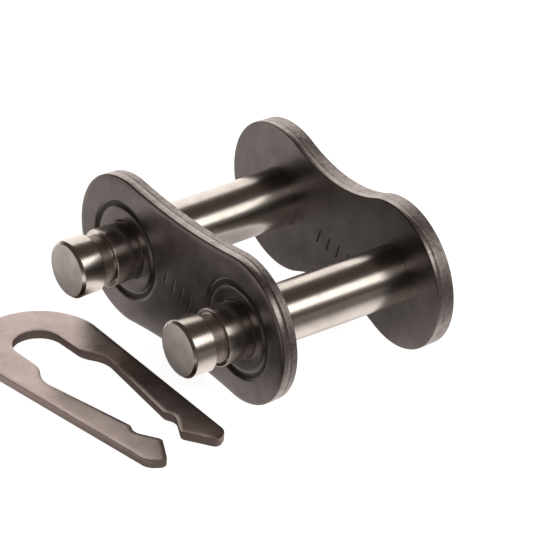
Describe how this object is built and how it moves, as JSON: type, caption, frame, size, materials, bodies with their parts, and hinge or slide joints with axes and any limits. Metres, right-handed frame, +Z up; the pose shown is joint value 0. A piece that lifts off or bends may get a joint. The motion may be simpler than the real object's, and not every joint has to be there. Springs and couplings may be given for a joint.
{
  "type": "roller chain connecting link",
  "caption": "Roller chain connecting link: plate with two grooved pins, loose cover plate on the pins, and a flat U-shaped spring clip lying beside it.",
  "frame": {"origin": "on the left pin's axis, at the pin plate's inner face", "axes": "+X along the chain from the left pin to the right pin, -Y along the pins towards their grooved ends, +Z up from the surface that the link and clip stand on"},
  "size_m": [0.0231, 0.0255, 0.0104],
  "materials": {
    "plate_steel": "dark phosphated stamping, satin, bare grey sheared edges",
    "pin_steel": "ground and polished, matte end faces",
    "clip_steel": "tempered spring steel, satin brown-grey"
  },
  "bodies": {
    "pin_link": {"pin_plate": "plate_steel", "left_pin": "pin_steel", "right_pin": "pin_steel"},
    "connecting_plate": {"connecting_plate": "plate_steel"},
    "spring_clip": {"spring_clip": "clip_steel"}
  },
  "joints": [
    {"name": "plate_slide", "type": "slide", "parent": "pin_link", "child": "connecting_plate", "axis": [0, -1, 0], "range_m": [-0.0109, 0.02]},
    {"name": "clip_slide", "type": "slide", "parent": "connecting_plate", "child": "spring_clip", "axis": [-0.9996, -0.029, 0], "range_m": [0, 0.02]}
  ]
}
